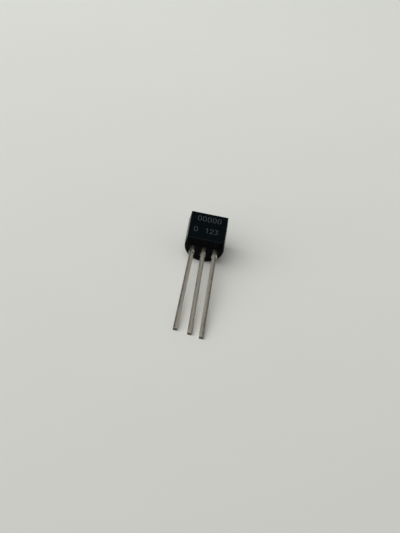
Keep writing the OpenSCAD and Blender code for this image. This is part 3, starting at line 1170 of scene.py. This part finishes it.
# %% Geometry Nodes: the bond wire
END_SHARE = 0.04
wire_rule, b_in, b_out = new_group(
    "bond_wire", GEOMETRY,
    [("Path", "NodeSocketGeometry", None), ("Diameter", FLOAT, 0.03), ("Ball", FLOAT, 1.3),
     ("Foot", FLOAT, 0.8), ("Sides", "NodeSocketInt", 12), ("Finish", "NodeSocketMaterial", None)],
    [("Geometry", "NodeSocketGeometry")],
)
along = add_node(wire_rule, "GeometryNodeSplineParameter").outputs["Factor"]
ball = remap(wire_rule, along, 0.0, END_SHARE, b_in["Ball"], 0.5, smooth=True)
foot = remap(wire_rule, along, 1.0 - END_SHARE, 1.0, 0.5, b_in["Foot"], smooth=True)
radius = do_math(wire_rule, "MULTIPLY", do_math(wire_rule, "MAXIMUM", ball, foot), b_in["Diameter"])
path = add_node(wire_rule, "GeometryNodeMeshToCurve", {"Mesh": b_in["Path"]}).outputs[0]
profile = add_node(
    wire_rule, "GeometryNodeCurvePrimitiveCircle", {"Resolution": b_in["Sides"], "Radius": 1.0}
).outputs[0]
wire = add_node(
    wire_rule, "GeometryNodeCurveToMesh",
    {"Curve": path, "Profile Curve": profile, "Scale": radius, "Fill Caps": True},
).outputs[0]
wire = add_node(wire_rule, "GeometryNodeRealizeInstances", {0: wire}).outputs[0]
finished = add_node(
    wire_rule, "GeometryNodeSetMaterial", {0: wire, "Material": b_in["Finish"]}
)
wire_rule.links.new(finished.outputs[0], b_out[0])
print("wire tree:", len(wire_rule.nodes), "nodes")

# %% [markdown]
# A loop of wire leaves the chip square on, arches over, and meets the post square on.

# %% Make the bond wires
WIRE_RISE = 0.35
WIRE_POINTS = 48
PASTE_T, DIE_T = 0.03, 0.2
DIE_FRONT = -LEAD_T / 2 - PASTE_T - DIE_T
ENDS = {
    "emitter": (BONDS_ON_DIE[0], (-1.15, DIE_Z)),
    "base": (BONDS_ON_DIE[1], (0.0, 1.35)),
}


def arch(start, end, share):
    """A point on the loop: it leaves and meets both faces square on."""
    middle = start.lerp(end, (1 - cos(pi * share)) / 2)
    return middle - Vector((0, WIRE_RISE * sin(pi * share), 0))


wires = {}
for name, ((x0, z0), (x1, z1)) in ENDS.items():
    start, end = Vector((x0, DIE_FRONT, z0)), Vector((x1, -LEAD_T / 2, z1))
    points = [arch(start, end, i / WIRE_POINTS) for i in range(WIRE_POINTS + 1)]
    wires[name] = grow(name + "_gold_wire", wire_rule, points, {"Finish": gold})
    print(wires[name].name, "open edges:", open_edges(wires[name].data))
    finish_mesh(wires[name])

# %% [markdown]
# ## The floor
#
# A plain pale sheet, much larger than the part, so no edge shows. It is almost one colour, with
# painted shade: a little darker towards the front and the right, where the light falls off. Slow
# patches change its tone a little at random.

# %% Floor
FLOOR_HALF = 3.0
FLOOR_NEAR_SHADED = (0.585, 0.580, 0.555, 1)
FLOOR_FAR_LIT = (0.700, 0.708, 0.672, 1)
RIGHTWARD_SHADE = (0.92, 0.92, 0.92, 1)
FLOOR_DEEP, FLOOR_WIDE = 0.06, 0.03
FLOOR_Z = 0.0
FLOOR_ROUGH, FLOOR_SPECULAR = 0.75, 0.2
TONE_PATCHES = 0.03
floor_mesh = bpy.data.meshes.new("floor")
corners = [
    (x * FLOOR_HALF, y * FLOOR_HALF, FLOOR_Z) for x, y in ((-1, -1), (1, -1), (1, 1), (-1, 1))
]
floor_mesh.from_pydata(corners, [], [(0, 1, 2, 3)])
floor = add_object("floor", floor_mesh)
sheet, tree, skin, point = new_finish(
    "floor_sheet", **{"Roughness": FLOOR_ROUGH, "Specular IOR Level": FLOOR_SPECULAR}
)
surface = use_group(tree, grain, {"Point": point, "Grain": 0.25, "Patch": 12.0})
spot = add_node(tree, "ShaderNodeTexCoord").outputs["Object"]
spot = split_axes(tree, spot)
# Painted shade: the colour darkens towards the front and, below, towards the right.
away = remap(tree, spot[1], -FLOOR_DEEP, FLOOR_DEEP)
cloud = remap(tree, surface["Patches"], 0.0, 1.0, -TONE_PATCHES, TONE_PATCHES)
away = do_math(tree, "ADD", away, cloud, clamp=True)
rightward = remap(tree, spot[0], -FLOOR_WIDE, FLOOR_WIDE)
tone = blend(tree, rightward, blend(tree, away, FLOOR_NEAR_SHADED, FLOOR_FAR_LIT), RIGHTWARD_SHADE, "MULTIPLY")
tree.links.new(tone, skin.inputs["Base Color"])
raise_surface(tree, skin, surface["Height"], 0.004)
paint(floor, sheet)
print(f"floor: {2 * FLOOR_HALF:.0f} m square at z = {FLOOR_Z:.1f}")

# %% [markdown]
# ## The light
#
# Plain soft studio light. One very wide lamp stands high at the front left and gives most of it,
# with a shadow on the right that has no edge. Its level and the surrounding's add up so that a
# colour renders about as it is written.
#
# A lamp this large and this far away lights everything alike, which is what a Sun lamp with a wide
# angle does.

# %% Lamp
KEY_FROM = Vector((-0.54, -0.46, 0.71)).normalized()
KEY_WIDE = radians(80)
KEY_LEVEL = 0.98

key = bpy.data.lights.new("key_lamp", "SUN")
key.angle = KEY_WIDE
key.energy = KEY_LEVEL * pi
key_object = add_object("key_lamp", key)
key_object.matrix_world = KEY_FROM.to_track_quat("Z", "Y").to_matrix().to_4x4()
print(f"key lamp: {key.energy:.2f} W per square metre")

# %% [markdown]
# The surrounding fills the shadows, and it is what the shiny leads and the case mirror. Near the
# horizon it is as pale as the far floor, so the floor seems to go on. Higher up it is grey, and a
# darker card stands behind and above, where the flat front and the leads look: without it they
# would be washed out.

# %% Surrounding light
BACKDROP = (0.675, 0.678, 0.645, 1)
SKY = (0.31, 0.31, 0.305, 1)
DARK_CARD = (0.20, 0.20, 0.20, 1)
CARD_TOWARDS = Vector((-0.03, 0.66, 0.75)).normalized()
CARD_INNER, CARD_OUTER = cos(radians(20)), cos(radians(45))
PALE_TO, SKY_FROM = sin(radians(10)), sin(radians(24))
BACKDROP_WIDE = 0.3

world = bpy.data.worlds.new("surrounding")
scene.world = world
world.use_nodes = True
tree = world.node_tree
tree.nodes.clear()
towards = add_node(tree, "ShaderNodeTexCoord").outputs["Generated"]
heading = split_axes(tree, towards)
near_card = do_vector(tree, "DOT_PRODUCT", towards, CARD_TOWARDS)
high = blend(tree, remap(tree, near_card, CARD_OUTER, CARD_INNER, smooth=True), SKY, DARK_CARD)
rightward = remap(tree, heading[0], -BACKDROP_WIDE, BACKDROP_WIDE)
low = blend(tree, rightward, BACKDROP, RIGHTWARD_SHADE, "MULTIPLY")
light = blend(tree, remap(tree, heading[2], PALE_TO, SKY_FROM, smooth=True), low, high)
glow = add_node(tree, "ShaderNodeBackground", {"Color": light})
add_node(tree, "ShaderNodeOutputWorld", {"Surface": glow.outputs[0]})
scene.view_settings.view_transform = "Standard"
print("surrounding:", len(tree.nodes), "nodes")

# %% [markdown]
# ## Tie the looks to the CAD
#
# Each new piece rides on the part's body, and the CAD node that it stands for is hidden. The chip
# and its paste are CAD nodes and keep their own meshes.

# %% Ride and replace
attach(case, "root")
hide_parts("body")
for name, piece in leads.items():
    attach(piece, "root")
    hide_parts(name + "_lead")
for name, piece in wires.items():
    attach(piece, "root")
    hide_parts(name + "_bond_wire")
print("pieces tied:", 1 + len(leads) + len(wires))
